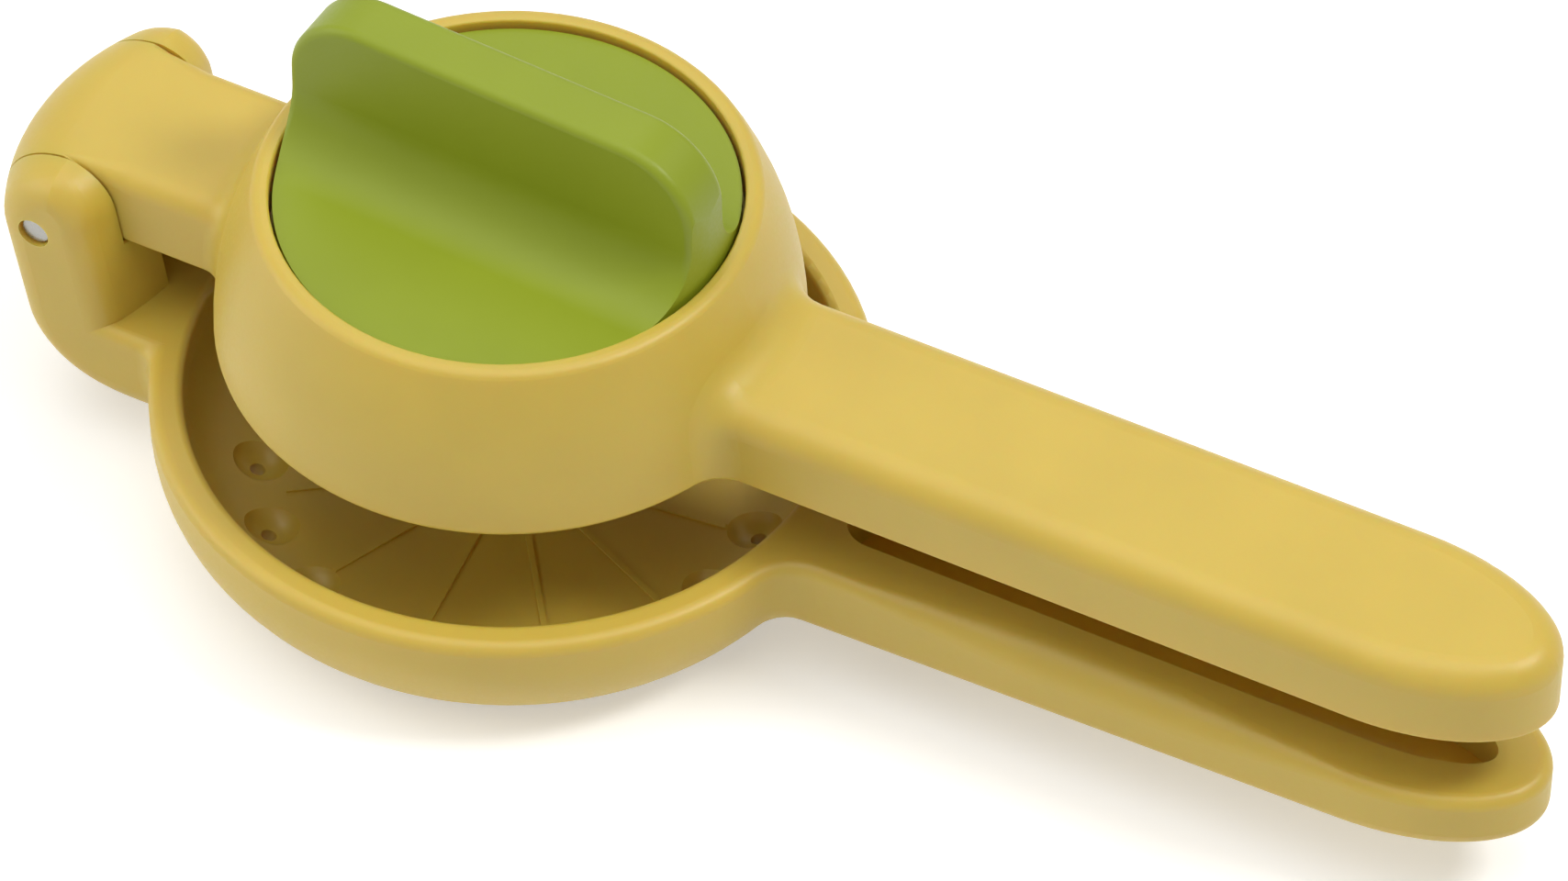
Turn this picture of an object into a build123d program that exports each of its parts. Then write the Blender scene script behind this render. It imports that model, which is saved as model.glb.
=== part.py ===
from build123d import *
import math
import os

os.makedirs("parts", exist_ok=True)

# Lemon squeezer with a twist knob. Millimetres, +Z up, +X along the grips.
# The origin is on the bowl's axis, at the surface that the bowl stands on.

# Bowl of the lower arm
rim_radius = 50.0
rim_height = 22.5
bowl_corner = 18.0
bowl_wall = 4.8
bowl_floor = 4.2
rim_round = 1.8
rim_inner_round = 1.2

# Juice drains in the bowl's wall and floor, and the ribs between them
drain_count = 18
drain_angle = 15.0
drain_dish_radius = 3.6
drain_dish_depth = 1.8
drain_radius = 1.1
drain_turn = 7.0
floor_drain_count = 6
floor_drain_ring_radius = 9.0
rib_count = 12
rib_turn = 6.0
rib_width = 0.8
rib_height = 0.3
rib_inner_radius = 13.5

# Grips of both arms
grip_width = 26.0
grip_reach = 105.3
grip_tip_length = 24.0
lower_grip_root_depth = 12.3
lower_grip_tip_depth = 9.1
lower_grip_round = 2.5
lower_grip_top_round = 4.6
lower_grip_root_run = 10.0
lower_grip_blend_run = 25.0
lower_grip_blend = 7.0
upper_grip_depth = 12.6
upper_grip_round = 4.2
upper_grip_blend = 6.0
channel_width = 11.0
channel_corner = 4.5
channel_root_land = 2.5
channel_floor = 3.0
core_wall = 4.0
core_top = 3.4

# Hinge
hinge_offset = 14.2
hinge_lean = 8.4
back_crown_radius = 35.0
front_crown_radius = 42.0
knuckle_radius = 10.2
knuckle_width = 24.4
ear_width = 6.2
ear_round = 4.5
ear_front_reach = 12.1
ear_front_round = 7.5
heel_height = 8.0
heel_round = 14.0
neck_blend = 4.0
rear_lip_drop = 7.5
seam_gap = 0.3
saddle_gap = 0.4
stop_gap = 0.4
stop_slot_width = 13.6
pin_radius = 2.0
pin_recess = 0.7
pin_counterbore_radius = 2.35
pin_counterbore_depth = 1.2
bush_radius = 3.5
bush_length = 9.0
pin_running_gap = 0.04
pin_free_gap = 0.3

# Housing of the upper arm
press_gap = 12.0
housing_height = 24.8
lip_radius = 32.0
lip_width = 2.1
lip_round = 1.6
lip_inner_round = 0.4
housing_flare = 6.3
housing_bulge = 1.6
housing_wall = 3.8
housing_edge_round = 0.7
web_thickness = 4.0
bridge_round = 3.0
bridge_round_start = 0.3
bridge_round_run = 11.0
bridge_blend = 4.0

# Twist knob
knob_recess = 1.2
knob_rim_gap = 0.5
knob_disc_depth = 4.0
fin_height = 22.9
fin_top_width = 8.2
fin_base_width = 9.4
fin_blend = 9.0
fin_corner = 11.0
fin_edge_round = 1.3
fin_turn = -3.0
hub_radius = 10.0
hub_running_gap = 0.06
axial_gap = 0.1
drive_width = 13.0
drive_depth = 6.0
drive_gap = 0.05
insert_radius = 3.5
insert_length = 8.0

# Glides and seal of the knob's bearing
glide_thickness = 1.0
glide_width = 8.0
seal_section_radius = 0.9
seal_running_gap = 0.03
seal_groove_gap = 0.15

# Reamer with its screw, washer and plug
reamer_flange_radius = 26.0
reamer_flange_depth = 3.0
reamer_root_radius = 22.0
reamer_tip_radius = 6.5
reamer_bulge = 3.4
reamer_floor_gap = 3.2
flute_count = 8
flute_radius = 7.0
flute_root_share = 1.10
flute_tip_share = 1.12
screw_radius = 2.0
screw_free_gap = 0.3
screw_head_radius = 3.6
screw_head_depth = 2.6
screw_recess_width = 2.6
screw_recess_depth = 1.6
screw_recess_sides = 6
washer_radius = 4.4
washer_thickness = 0.8
washer_side_gap = 0.15
plug_dome = 1.6
plug_depth = 4.0
plug_side_gap = 0.03

# Heights and places worked out from the sizes above
overrun = 20.0
same_place = 0.01
grip_half = grip_width / 2
grip_tip_x = rim_radius + grip_reach
grip_tip_centre_x = grip_tip_x - grip_tip_length
foot_radius = rim_radius - bowl_corner
mouth_radius = rim_radius - bowl_wall
inner_corner = bowl_corner - bowl_wall
bowl_seam_turn = drain_turn + 90
hinge_x = -(rim_radius + hinge_offset)
housing_base = rim_height + press_gap
housing_top = housing_base + housing_height
bridge_top = housing_base + upper_grip_depth
hinge_height = bridge_top - knuckle_radius
knuckle_half = knuckle_width / 2
ear_inner = knuckle_half + seam_gap
ear_outer = ear_inner + ear_width
lip_outer_radius = lip_radius + lip_width
skirt_radius = lip_outer_radius + housing_flare
skirt_inner_radius = skirt_radius - housing_wall
disc_radius = lip_radius - knob_rim_gap
disc_top = housing_top - knob_recess
disc_base = disc_top - knob_disc_depth
web_top = disc_base - axial_gap - glide_thickness
web_base = web_top - web_thickness
reamer_top = web_base - glide_thickness - axial_gap
reamer_tip = bowl_floor + rib_height + reamer_floor_gap
bore_radius = hub_radius + hub_running_gap
glide_inner_radius = bore_radius + seam_gap
drive_base = reamer_top - drive_depth


def edges_where(shape, test):
    """The edges whose middle passes the test."""
    return [edge for edge in shape.edges() if test(edge.center())]


def from_axis(point):
    return math.hypot(point.X, point.Y)


def nearest_vertex(face, point):
    return min(face.vertices(), key=lambda v: math.dist((v.X, v.Y), point))


def disc(radius, low, high):
    """A round bar on the bowl's axis between two heights."""
    return Pos(0, 0, low) * Cylinder(radius, high - low, align=(Align.CENTER, Align.CENTER, Align.MIN))


def ring(inner_radius, outer_radius, low, high):
    return disc(outer_radius, low, high) - disc(inner_radius, low - overrun, high + overrun)


def hinge_bar(radius, half_length):
    """A round bar on the hinge axis, centred between the ears."""
    return Pos(hinge_x, 0, hinge_height) * Rot(90, 0, 0) * Cylinder(radius, 2 * half_length)


def block(x_range, y_range, z_range):
    """A box between two corners."""
    size = [high - low for low, high in (x_range, y_range, z_range)]
    corner = Pos(x_range[0], y_range[0], z_range[0])
    return corner * Box(*size, align=(Align.MIN, Align.MIN, Align.MIN))


def grip_plan(start_x, inset=0):
    """The plan of a grip, straight from its root to a long round tip."""
    length = grip_tip_centre_x - start_x
    straight = Pos(start_x + length / 2, 0) * Rectangle(length, grip_width - 2 * inset)
    return straight + Pos(grip_tip_centre_x, 0) * Ellipse(grip_tip_length - inset, grip_half - inset)


def hollow_plan(start_x, wall):
    """The plan of a hollow in a grip, with the given wall left round it."""
    plan = grip_plan(start_x, wall)
    return fillet(plan.vertices().group_by(Axis.X)[0], channel_corner)


def grip_bar(side_points):
    """A bar with the given side outline and the plan of the grips."""
    start_x = min(x for x, z in side_points)
    slab = extrude(Plane.XZ * make_face(Polyline(*side_points, close=True)), grip_half, both=True)
    low = min(z for x, z in side_points)
    high = max(z for x, z in side_points)
    return slab & Pos(0, 0, low - overrun) * extrude(grip_plan(start_x), high - low + 2 * overrun)


def edge_cuts(half_width, top, stations):
    """Cuts that round both top edges of a bar along X. The radius changes between the given places."""
    sections = []
    for x, radius in stations:
        start = (half_width - radius, top)
        end = (half_width, top - radius)
        slack = radius * (1 - math.sqrt(0.5))
        outline = ThreePointArc(start, (half_width - slack, top - slack), end)
        far = (half_width + overrun, top + overrun)
        outline += Polyline(end, (far[0], end[1]), far, (start[0], far[1]), start)
        sections.append(Plane.YZ.offset(x) * make_face(outline))
    cut = loft(sections, ruled=True)
    return cut + mirror(cut, about=Plane.XZ)


# Lower arm
def dish(radius, low, corner):
    """A round body with a flat floor, a round corner and an upright wall. Its seam is at one side."""
    half = make_face(Polyline((0, low), (radius, low), (radius, rim_height), (0, rim_height), close=True))
    half = fillet(nearest_vertex(half, (radius, low)), corner)
    return Rot(0, 0, bowl_seam_turn) * revolve(Plane.XZ * half, Axis.Z)


def lower_grip_floor(x):
    """Height of the lower grip's underside, which rises to the tip."""
    share = (x - rim_radius) / grip_reach
    return rim_height - lower_grip_root_depth + share * (lower_grip_root_depth - lower_grip_tip_depth)


def lower_grip():
    start_x = foot_radius
    outline = [(start_x, rim_height), (grip_tip_x, rim_height)]
    outline += [(x, lower_grip_floor(x)) for x in (grip_tip_x, start_x)]
    bar = grip_bar(outline)
    below_rim = rim_height - lower_grip_tip_depth / 2
    soft = edges_where(bar, lambda p: p.Z < below_rim and p.X > start_x + same_place)
    soft = [edge for edge in soft if abs(edge.tangent_at(0.5).Z) < math.sqrt(0.5)]
    return fillet(soft, lower_grip_round)


def bowed_body(side, reach, crown_radius, top_round, low, heel=0):
    """A round body with an upright axis. Its leaning side is the bowed back or front of the hinge."""
    face_x = hinge_x + side * reach
    axis_x = face_x - side * crown_radius
    slope = math.tan(math.radians(hinge_lean))
    high = (face_x - knuckle_radius * slope, bridge_top)
    base = (face_x + (hinge_height - low) * slope, low)
    half = make_face(Polyline((axis_x, low), (axis_x, bridge_top), high, base, close=True))
    half = fillet(nearest_vertex(half, high), top_round)
    if heel:
        half = fillet(nearest_vertex(half, base), heel)
    return revolve(Plane.XZ * half, Axis((axis_x, 0, 0), (0, 0, 1)))


def hinge_back():
    return bowed_body(-1, knuckle_radius, back_crown_radius, knuckle_radius, heel_height, heel_round)


def hinge_block():
    """Neck and ears as one body. The neck's top is a ledge level with the rim, in front of the ears."""
    across = (-ear_outer, ear_outer)
    top = bridge_top + overrun
    behind_x = hinge_x - knuckle_radius - overrun
    front = bowed_body(1, ear_front_reach, front_crown_radius, ear_front_round, rim_height)
    body = hinge_back() & block((behind_x, -foot_radius), across, (0, top))
    body -= block((hinge_x, 0), across, (rim_height, top)) - front

    def on_side(point):
        return abs(point.Y) > ear_outer - same_place and point.X < -foot_radius - same_place

    ledge = edges_where(body, lambda p: on_side(p) and abs(p.Z - rim_height) < same_place)
    body = fillet(ledge, rim_round)
    ears = edges_where(body, lambda p: on_side(p) and (p.Z > rim_height or p.X < hinge_x + ear_front_reach))
    return fillet(ears, ear_round)


def knuckle_slot():
    """Room between the ears for the knuckle and the bridge over the whole swing, and a slot in the stop."""
    saddle = knuckle_radius + saddle_gap
    across = (-ear_inner, ear_inner)
    top = bridge_top + overrun
    slot = hinge_bar(saddle, ear_inner)
    slot += block((hinge_x, 0), across, (housing_base - stop_gap, top))
    slot += block((hinge_x, 0), (-stop_slot_width / 2, stop_slot_width / 2), (rim_height, top))
    slot += block((hinge_x - saddle - overrun, hinge_x), across, (hinge_height - rear_lip_drop, top))
    return slot


def grip_channel():
    """The open channel along the top of the lower grip."""
    start_x = rim_radius + channel_root_land
    plan = hollow_plan(start_x, (grip_width - channel_width) / 2)
    top = rim_height + overrun
    side = [(start_x - overrun, top), (grip_tip_x, top)]
    side += [(x, lower_grip_floor(x) + channel_floor) for x in (grip_tip_x, start_x - overrun)]
    wedge = extrude(Plane.XZ * make_face(Polyline(*side, close=True)), grip_half, both=True)
    return wedge & Pos(0, 0, -overrun) * extrude(plan, top + 2 * overrun)


def bowl_drains():
    """Dished drains square to the curve of the wall, and plain holes in the floor."""
    lean = math.radians(drain_angle)
    inward = (-math.sin(lean), 0, math.cos(lean))
    mouth = (foot_radius + inner_corner * math.sin(lean), 0,
             bowl_floor + inner_corner * (1 - math.cos(lean)))
    upright = Plane(origin=mouth, z_dir=inward)
    ball_radius = (drain_dish_radius ** 2 + drain_dish_depth ** 2) / (2 * drain_dish_depth)
    drain = Pos(0, 0, ball_radius - drain_dish_depth) * Sphere(ball_radius)
    drain += Cylinder(drain_radius, 4 * bowl_wall)
    cuts = Part()
    for turn in range(drain_count):
        cuts += Rot(0, 0, drain_turn + turn * 360 / drain_count) * upright.location * drain
    for location in PolarLocations(floor_drain_ring_radius, floor_drain_count):
        cuts += location * disc(drain_radius, -overrun, rim_height)
    return cuts


def bowl_ribs():
    """Low radial ribs that hold the fruit, from near the middle to the floor's edge."""
    length = foot_radius - rib_inner_radius
    standing = (Align.CENTER, Align.CENTER, Align.MIN)
    ribs = Part()
    for location in PolarLocations(rib_inner_radius + length / 2, rib_count, start_angle=rib_turn):
        rib = Box(length, rib_width, rib_height + bowl_floor / 2, align=standing)
        ribs += location * Pos(0, 0, bowl_floor / 2) * rib
    return ribs


def make_bowl_arm():
    arm = dish(rim_radius, 0, bowl_corner)
    arm += lower_grip()
    grip_crease = edges_where(arm, lambda p: p.X > foot_radius and from_axis(p) < rim_radius + same_place
                              and abs(p.Y) < grip_half + same_place and p.Z < rim_height - same_place)
    arm = fillet(grip_crease, lower_grip_blend)
    rim = edges_where(arm, lambda p: abs(p.Z - rim_height) < same_place)
    arm = fillet(rim, rim_round)
    root_x = rim_radius + lower_grip_root_run
    blend = lower_grip_blend_run
    arm -= edge_cuts(grip_half, rim_height, [
        (root_x, rim_round), (root_x + blend, lower_grip_top_round),
        (grip_tip_centre_x - blend, lower_grip_top_round), (grip_tip_centre_x, rim_round)])
    arm += hinge_block()
    neck_crease = edges_where(arm, lambda p: p.X < -foot_radius and from_axis(p) < rim_radius + same_place
                              and heel_height - same_place < p.Z < rim_height - same_place)
    arm = fillet(neck_crease, neck_blend)
    arm -= dish(mouth_radius, bowl_floor, inner_corner)
    mouth = edges_where(arm, lambda p: abs(p.Z - rim_height) < same_place
                        and from_axis(p) < mouth_radius + same_place)
    arm = fillet(mouth, rim_inner_round)
    arm -= knuckle_slot()
    arm -= hinge_bar(pin_radius, ear_outer + overrun)
    bottom = ear_outer - pin_counterbore_depth
    arm -= hinge_bar(pin_counterbore_radius, ear_outer + overrun) - hinge_bar(knuckle_radius, bottom)
    arm -= grip_channel()
    arm += bowl_ribs()
    arm -= bowl_drains()
    return arm


# Upper arm
def housing_shell():
    """The outside of the housing as a solid of revolution."""
    low = (skirt_radius, housing_base)
    high = (lip_outer_radius, housing_top)
    middle = ((low[0] + high[0]) / 2 + housing_bulge, (low[1] + high[1]) / 2)
    section = Line((0, housing_base), low) + ThreePointArc(low, middle, high)
    section += Line(high, (0, housing_top)) + Line((0, housing_top), (0, housing_base))
    return revolve(Plane.XZ * make_face(section), Axis.Z)


def upper_grip():
    start_x = lip_radius / 2
    outline = [(start_x, housing_base), (grip_tip_x, housing_base)]
    outline += [(grip_tip_x, bridge_top), (start_x, bridge_top)]
    bar = grip_bar(outline)
    top = edges_where(bar, lambda p: abs(p.Z - bridge_top) < same_place and p.X > start_x + same_place)
    return fillet(top, upper_grip_round)


def bridge():
    """The bar from the housing to the knuckle."""
    bar = block((hinge_x, -lip_radius / 2), (-knuckle_half, knuckle_half), (housing_base, bridge_top))
    return (bar & hinge_back()) - edge_cuts(knuckle_half, bridge_top, [
        (hinge_x, bridge_round_start), (hinge_x + bridge_round_run, bridge_round), (0, bridge_round)])


def grip_core():
    """The hollow underside of the upper grip."""
    plan = hollow_plan(skirt_radius + core_wall, core_wall)
    return Pos(0, 0, housing_base - overrun) * extrude(plan, bridge_top - core_top - housing_base + overrun)


def make_press_arm():
    shell = housing_shell()

    def on_shell(point, half_width):
        low_ring = from_axis(point) < skirt_radius + same_place
        return low_ring and point.Z < bridge_top + same_place and abs(point.Y) < half_width + same_place

    arm = shell + upper_grip()
    crease = edges_where(arm, lambda p: on_shell(p, grip_half) and p.X > lip_radius
                         and p.Z > housing_base + same_place)
    arm = fillet(crease, upper_grip_blend)
    arm += bridge()
    crease = edges_where(arm, lambda p: on_shell(p, knuckle_half) and p.X < -lip_radius
                         and p.Z > housing_base + same_place)
    arm = fillet(crease, bridge_blend)
    low = edges_where(arm, lambda p: abs(p.Z - housing_base) < same_place and p.X > hinge_x + same_place)
    arm = fillet(low, housing_edge_round)
    arm += hinge_bar(knuckle_radius, knuckle_half) & hinge_back()
    lip = edges_where(arm, lambda p: abs(p.Z - housing_top) < same_place)
    arm = fillet(lip, lip_round)
    arm -= disc(lip_radius, web_top, housing_top + overrun)
    lip = edges_where(arm, lambda p: abs(p.Z - housing_top) < same_place
                      and from_axis(p) < lip_radius + same_place)
    arm = fillet(lip, lip_inner_round)
    arm -= disc(bore_radius, housing_base - overrun, housing_top)
    arm -= disc(skirt_inner_radius, housing_base - overrun, web_base)
    arm -= grip_core()
    arm -= hinge_bar(pin_radius + pin_free_gap, knuckle_half + overrun)
    middle = hinge_bar(knuckle_radius, knuckle_half - bush_length)
    arm -= hinge_bar(bush_radius, knuckle_half + overrun) - middle
    return arm


# Hinge pin and bushes
def make_hinge_pin():
    return hinge_bar(pin_radius, ear_outer - pin_recess)


def make_hinge_bush(side):
    middle = side * (knuckle_half - bush_length / 2)
    bush = hinge_bar(bush_radius, bush_length / 2) - hinge_bar(pin_radius + pin_running_gap, bush_length)
    return Pos(0, middle, 0) * bush


# Twist knob
def knob_fin():
    """A grip across the disc, drafted, with hollow blends into the disc and round top corners."""
    top = disc_top + fin_height
    half_top = fin_top_width / 2
    half_base = fin_base_width / 2
    right = [(disc_radius, disc_base), (disc_radius, disc_top), (half_base, disc_top), (half_top, top)]
    left = [(-y, z) for y, z in reversed(right)]
    section = make_face(Polyline(*right, *left, close=True))
    corners = [nearest_vertex(section, (side * half_base, disc_top)) for side in (-1, 1)]
    section = fillet(corners, fin_blend)
    bar = extrude(Plane.YZ * section, disc_radius, both=True)
    side = Rectangle(2 * disc_radius, top - disc_base)
    side = fillet(side.vertices().group_by(Axis.Y)[-1], fin_corner)
    outline = Plane.XZ * Pos(0, (top + disc_base) / 2) * side
    bar = bar & extrude(outline, disc_radius, both=True)
    crest = edges_where(bar, lambda p: p.Z > top - same_place and abs(p.Y) > half_top - same_place)
    bar = fillet(crest, fin_edge_round)
    return bar & disc(disc_radius, disc_base, top)


def make_twist_knob():
    knob = Rot(0, 0, fin_turn) * knob_fin()
    knob += disc(hub_radius, reamer_top, disc_base)
    knob += Pos(0, 0, drive_base) * extrude(Rectangle(drive_width, drive_width), drive_depth)
    knob -= disc(insert_radius, drive_base - overrun, drive_base + insert_length)
    knob -= disc(screw_radius + screw_free_gap, drive_base, drive_base + insert_length + screw_radius)
    groove_half = seal_section_radius + seal_groove_gap
    groove_low = seal_centre() - groove_half
    knob -= ring(seal_groove_floor(), hub_radius + overrun, groove_low, groove_low + 2 * groove_half)
    return knob


def seal_centre():
    return web_base + web_thickness / 2


def seal_groove_floor():
    """Radius of the groove's floor, so that the seal just clears the bore."""
    return bore_radius - seal_running_gap - 2 * seal_section_radius


def make_hub_seal():
    middle = seal_groove_floor() + seal_section_radius
    section = Plane.XZ * Pos(middle, seal_centre()) * Circle(seal_section_radius)
    return revolve(section, Axis.Z)


def make_knob_insert():
    body = disc(insert_radius, drive_base, drive_base + insert_length)
    return body - disc(screw_radius, drive_base - overrun, drive_base + insert_length + overrun)


def make_glide(low):
    return ring(glide_inner_radius, glide_inner_radius + glide_width, low, low + glide_thickness)


# Reamer
def make_reamer():
    shoulder = reamer_top - reamer_flange_depth
    root = (reamer_root_radius, shoulder)
    tip = (reamer_tip_radius, reamer_tip)
    lean = math.atan2(shoulder - reamer_tip, reamer_root_radius - reamer_tip_radius)
    middle = ((root[0] + tip[0]) / 2 + reamer_bulge * math.sin(lean),
              (root[1] + tip[1]) / 2 - reamer_bulge * math.cos(lean))
    outline = Line((0, shoulder), root) + ThreePointArc(root, middle, tip)
    outline += Line(tip, (0, reamer_tip)) + Line((0, reamer_tip), (0, shoulder))
    body = revolve(Plane.XZ * make_face(outline), Axis.Z)
    start = Vector(reamer_root_radius * flute_root_share + flute_radius, 0, shoulder)
    end = Vector(reamer_tip_radius * flute_tip_share + flute_radius, 0, reamer_tip)
    path = Plane(origin=start, z_dir=end - start)
    flute = path * Cylinder(flute_radius, 2 * (end - start).length)
    for turn in range(flute_count):
        body -= Rot(0, 0, turn * 360 / flute_count) * flute
    body += disc(reamer_flange_radius, shoulder, reamer_top)
    socket = drive_width + 2 * drive_gap
    body -= Pos(0, 0, drive_base) * extrude(Rectangle(socket, socket), drive_depth + overrun)
    body -= disc(screw_radius + screw_free_gap, reamer_tip - overrun, reamer_top)
    body -= disc(washer_radius + washer_side_gap, reamer_tip - overrun, screw_seat())
    return body


def screw_seat():
    """Height of the face that the screw's washer presses on."""
    return reamer_tip + plug_depth + screw_head_depth + washer_thickness


def make_screw_washer():
    return ring(screw_radius + screw_free_gap, washer_radius, screw_seat() - washer_thickness, screw_seat())


def make_reamer_screw():
    head_top = screw_seat() - washer_thickness
    head_low = head_top - screw_head_depth
    screw = disc(screw_head_radius, head_low, head_top)
    screw += disc(screw_radius, head_top, drive_base + insert_length)
    recess = extrude(RegularPolygon(screw_recess_width / 2, screw_recess_sides), screw_recess_depth)
    return screw - Pos(0, 0, head_low) * recess


def make_reamer_plug():
    """A domed plug that closes the screw's hole at the tip."""
    radius = washer_radius + washer_side_gap - plug_side_gap
    dome_radius = (radius ** 2 + plug_dome ** 2) / (2 * plug_dome)
    plug = disc(radius, reamer_tip - plug_dome, reamer_tip + plug_depth)
    return plug & Pos(0, 0, reamer_tip - plug_dome + dome_radius) * Sphere(dome_radius)


pieces = {
    "bowl_arm": make_bowl_arm(),
    "press_arm": make_press_arm(),
    "hinge_pin": make_hinge_pin(),
    "hinge_bush_left": make_hinge_bush(-1),
    "hinge_bush_right": make_hinge_bush(1),
    "twist_knob": make_twist_knob(),
    "knob_insert": make_knob_insert(),
    "knob_glide": make_glide(web_top),
    "hub_seal": make_hub_seal(),
    "reamer_glide": make_glide(web_base - glide_thickness),
    "reamer": make_reamer(),
    "reamer_screw": make_reamer_screw(),
    "screw_washer": make_screw_washer(),
    "reamer_plug": make_reamer_plug(),
}

for name, piece in pieces.items():
    export_step(piece, f"parts/{name}.step")
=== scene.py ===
import bpy
from mathutils import Matrix, Vector

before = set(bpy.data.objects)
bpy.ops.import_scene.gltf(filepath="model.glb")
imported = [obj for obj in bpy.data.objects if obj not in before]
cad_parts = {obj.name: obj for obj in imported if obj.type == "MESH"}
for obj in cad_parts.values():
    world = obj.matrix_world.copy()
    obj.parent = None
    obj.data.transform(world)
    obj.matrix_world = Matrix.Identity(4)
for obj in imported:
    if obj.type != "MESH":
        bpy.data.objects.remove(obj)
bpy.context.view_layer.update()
scene = bpy.context.scene

# Surface values: lengths in metres, noise scales per metre
white = (1.0, 1.0, 1.0, 1.0)
whole_range = (0.0, 1.0)
noise_range = (0.3, 0.7)  # where nearly all of a noise's values lie
relief_depth = 0.0001
mottle_scale = 60.0
grain_scale = 1800.0
grain_strength = 0.08
subsurface_weight = 0.4
subsurface_scale = 0.006
mark_scale = 900.0
mark_detail = 3.0
mark_strength = 0.1
mark_shade = 0.86  # the marks' colour as a share of the metal's

# Camera values, fitted to the photo
camera_place = (0.419028, -0.723071, 0.920453)
camera_right = (0.88660754, 0.4625225, 0.0)
camera_up = (-0.34100736, 0.65367565, 0.67559021)
camera_back = (0.31247567, -0.59898337, 0.73727734)
lens_length = 205.63  # in millimetres, and so is the sensor's width
sensor_width = 36.0
view_reach = 20.0

# Floor, world and lamp values
floor_sides = 96
floor_radius = 4.0
floor_dark = (0.90, 0.90, 0.90)
floor_light = (0.92, 0.92, 0.92)
floor_tone_scale = 3.0
floor_roughness = 0.9
glow_distances = (0.4, 1.4)  # from the bowl's axis
glow_strengths = (0.4, 1.0)  # weaker near the object, where its shadow lies
ambient_strength = 0.12
background_strength = 1.0
lamp_target = (0.03, 0.0, 0.02)
lamps = (  # name, place, size and power in watts
    ("key", (0.71, 0.18, 0.99), 0.3, 5.8),
    ("overhead", (-0.05, -0.15, 1.2), 1.2, 8.0),
    ("back", (-0.4, 0.7, 1.0), 0.7, 1.7),
    ("left", (-0.97, -0.5, 0.5), 0.8, 4.3),
    ("front", (0.3, -1.1, 0.6), 0.8, 0.6),
)


# Nodes
def feed(tree, node, inputs):
    """Set a node's inputs to values, or link them to the outputs of other nodes."""
    for name, given in inputs.items():
        if isinstance(given, bpy.types.NodeSocket):
            tree.links.new(given, node.inputs[name])
        else:
            node.inputs[name].default_value = given


def new_node(tree, kind, inputs):
    """A new node with its inputs fed."""
    node = tree.nodes.new(kind)
    feed(tree, node, inputs)
    return node


def noise(tree, where, scale, detail=2.0):
    """The value of a noise."""
    inputs = {"Vector": where, "Scale": scale, "Detail": detail}
    return new_node(tree, "ShaderNodeTexNoise", inputs).outputs["Fac"]


def spread(tree, value, wanted, given=noise_range):
    """The value, taken from the given range to the wanted one."""
    inputs = {
        "Value": value,
        "From Min": given[0],
        "From Max": given[1],
        "To Min": wanted[0],
        "To Max": wanted[1],
    }
    return new_node(tree, "ShaderNodeMapRange", inputs).outputs["Result"]


def tinted(tree, factor, dark, light):
    """A colour between two, by the factor."""
    mix = tree.nodes.new("ShaderNodeMix")
    mix.data_type = "RGBA"
    feed(tree, mix, {"Factor": factor, "A": (*dark, 1.0), "B": (*light, 1.0)})
    return mix.outputs["Result"]


def relief(tree, height, strength):
    """A surface normal that follows the height."""
    inputs = {"Height": height, "Strength": strength, "Distance": relief_depth}
    return new_node(tree, "ShaderNodeBump", inputs).outputs["Normal"]


def combined(tree, operation, first, second):
    """Two values taken together, such as their product or the higher one."""
    node = tree.nodes.new("ShaderNodeMath")
    node.operation = operation
    feed(tree, node, {0: first, 1: second})
    return node.outputs["Value"]


def seen_directly(tree):
    """One on the rays that show the background: straight, mirrored or through glass."""
    paths = tree.nodes.new("ShaderNodeLightPath")
    seen = paths.outputs["Is Camera Ray"]
    for other in ("Is Glossy Ray", "Is Transmission Ray"):
        seen = combined(tree, "MAXIMUM", seen, paths.outputs[other])
    return seen


# Materials
def shader(name):
    """A new material, with its node tree, its shader node and coordinates in the frame."""
    material = bpy.data.materials.new(name)
    material.use_nodes = True
    tree = material.node_tree
    where = tree.nodes.new("ShaderNodeTexCoord").outputs["Object"]
    return material, tree, tree.nodes["Principled BSDF"], where


def shaded(colour, share):
    """The colour, darker or lighter by a share."""
    return [channel * share for channel in colour]


def plastic(name, colour, rough=(0.40, 0.48), mottle=0.03, shine=0.5, subsurface=None):
    """Satin moulded plastic with a faint mottle and a fine grain, and light that goes into it."""
    material, tree, bsdf, where = shader(name)
    cloud = spread(tree, noise(tree, where, mottle_scale), whole_range)
    grain = noise(tree, where, grain_scale)
    feed(tree, bsdf, {
        "Base Color": tinted(tree, cloud, shaded(colour, 1 - mottle), shaded(colour, 1 + mottle)),
        "Roughness": spread(tree, grain, rough),
        "Normal": relief(tree, grain, grain_strength),
        "Specular IOR Level": shine,
    })
    if subsurface:
        feed(tree, bsdf, {
            "Subsurface Weight": subsurface_weight,
            "Subsurface Scale": subsurface_scale,
            "Subsurface Radius": subsurface,
        })
    return material


def metal(name, colour, rough, stretch):
    """Turned metal with fine marks along one way."""
    material, tree, bsdf, where = shader(name)
    along = new_node(tree, "ShaderNodeMapping", {"Vector": where, "Scale": stretch})
    marks = noise(tree, along.outputs["Vector"], mark_scale, mark_detail)
    feed(tree, bsdf, {
        "Base Color": tinted(tree, marks, shaded(colour, mark_shade), colour),
        "Roughness": spread(tree, marks, rough),
        "Normal": relief(tree, marks, mark_strength),
        "Metallic": 1.0,
    })
    return material


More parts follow.
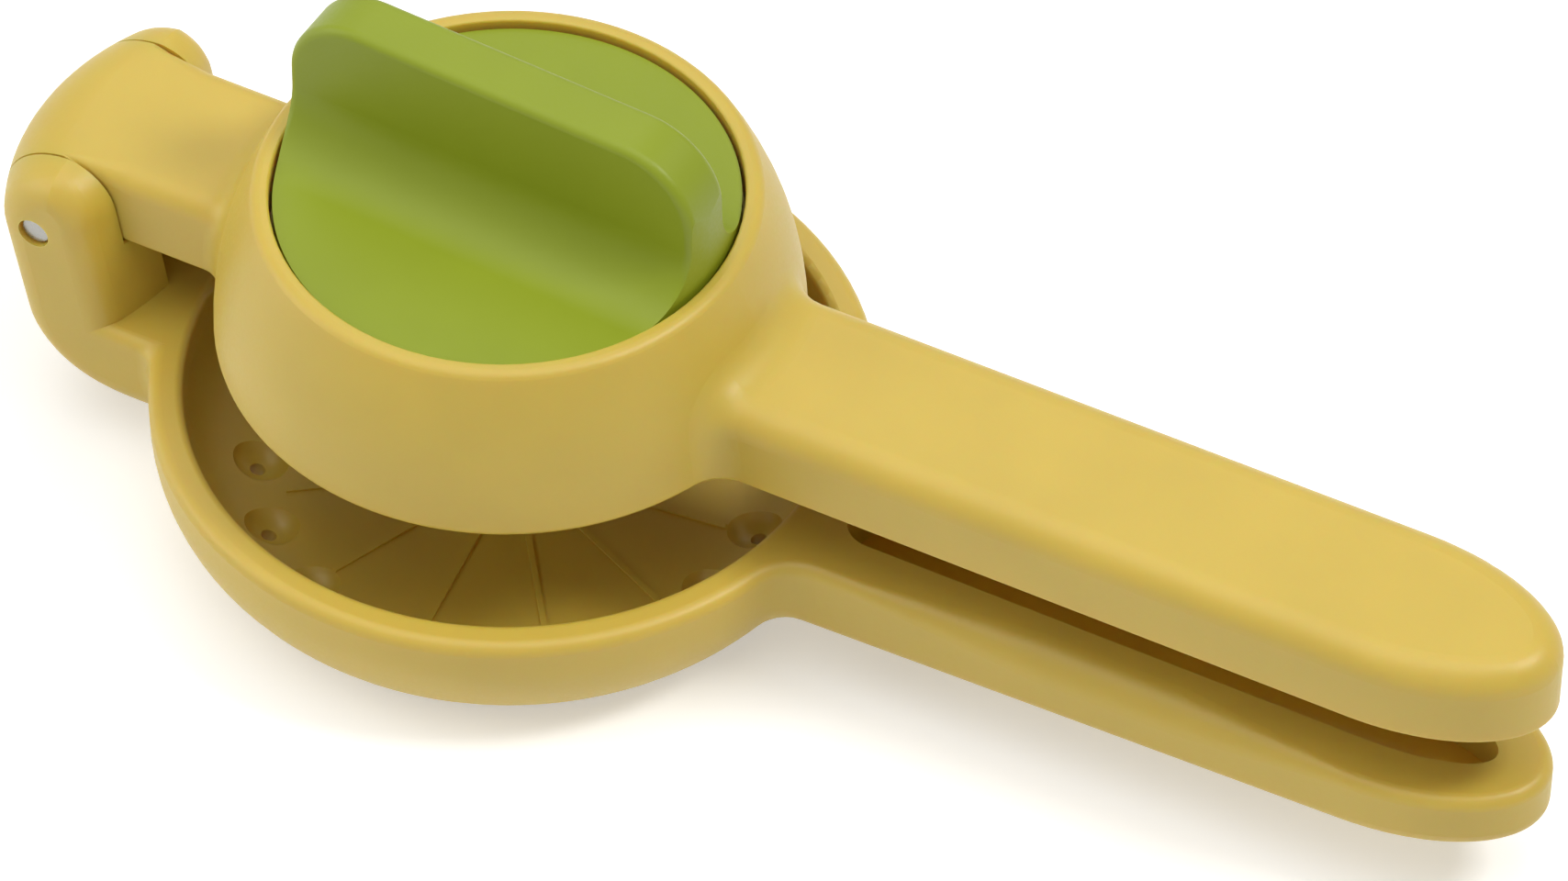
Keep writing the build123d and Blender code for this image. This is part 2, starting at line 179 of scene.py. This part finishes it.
yellow = plastic("yellow_plastic", (0.625, 0.452, 0.065), shine=0.55, subsurface=(1.0, 0.35, 0.08))
green = plastic("green_plastic", (0.26, 0.322, 0.012), shine=0.38)
pale = plastic("pale_plastic", (0.80, 0.78, 0.72))
rubber = plastic("seal_rubber", (0.03, 0.03, 0.03), rough=(0.55, 0.70), mottle=0.2)
steel = metal("steel", (0.38, 0.375, 0.35), rough=(0.22, 0.34), stretch=(1.0, 0.08, 1.0))
brass = metal("brass", (0.72, 0.52, 0.22), rough=(0.24, 0.38), stretch=(1.0, 1.0, 0.1))

look = {
    "bowl_arm": yellow,
    "press_arm": yellow,
    "reamer": yellow,
    "twist_knob": green,
    "reamer_plug": green,
    "hinge_pin": steel,
    "reamer_screw": steel,
    "screw_washer": steel,
    "knob_insert": brass,
    "hub_seal": rubber,
    "knob_glide": pale,
    "reamer_glide": pale,
    "hinge_bush_left": pale,
    "hinge_bush_right": pale,
}
for node, material in look.items():
    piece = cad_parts[node]
    piece.data.materials.clear()
    piece.data.materials.append(material)

# Camera of the photo
camera = bpy.data.objects.new("camera", bpy.data.cameras.new("camera"))
scene.collection.objects.link(camera)
turn = Matrix((camera_right, camera_up, camera_back)).transposed().to_4x4()
camera.matrix_world = Matrix.Translation(camera_place) @ turn
camera.data.lens = lens_length
camera.data.sensor_width = sensor_width
camera.data.clip_end = view_reach
scene.camera = camera

# Floor, white where it is seen and grey in the shadow
bpy.ops.mesh.primitive_circle_add(vertices=floor_sides, radius=floor_radius, fill_type="NGON")
floor = bpy.context.object
floor.name = "floor"
material, tree, bsdf, where = shader("floor")
tone = spread(tree, noise(tree, where, floor_tone_scale), whole_range)
distance = tree.nodes.new("ShaderNodeVectorMath")
distance.operation = "LENGTH"
feed(tree, distance, {0: where})
glow = spread(tree, distance.outputs["Value"], glow_strengths, glow_distances)
feed(tree, bsdf, {
    "Base Color": tinted(tree, tone, floor_dark, floor_light),
    "Roughness": floor_roughness,
    "Specular IOR Level": 0.0,
    "Emission Color": white,
    "Emission Strength": combined(tree, "MULTIPLY", seen_directly(tree), glow),
})
floor.data.materials.append(material)

# World, white where it is seen and a weak light elsewhere
world = bpy.data.worlds.new("studio")
scene.world = world
world.use_nodes = True
tree = world.node_tree
ambient = tree.nodes["Background"]
feed(tree, ambient, {"Color": white, "Strength": ambient_strength})
background = new_node(tree, "ShaderNodeBackground", {"Color": white, "Strength": background_strength})
mix = new_node(tree, "ShaderNodeMixShader", {
    "Fac": seen_directly(tree),
    1: ambient.outputs["Background"],
    2: background.outputs["Background"],
})
feed(tree, tree.nodes["World Output"], {"Surface": mix.outputs["Shader"]})

# Square soft lamps that face the object
for name, place, size, power in lamps:
    light = bpy.data.lights.new(name, "AREA")
    light.size = size
    light.energy = power
    lamp = bpy.data.objects.new(name, light)
    scene.collection.objects.link(lamp)
    aim = Vector(lamp_target) - Vector(place)
    lamp.matrix_world = Matrix.Translation(place) @ aim.to_track_quat("-Z", "Y").to_matrix().to_4x4()

scene.view_settings.view_transform = "Standard"
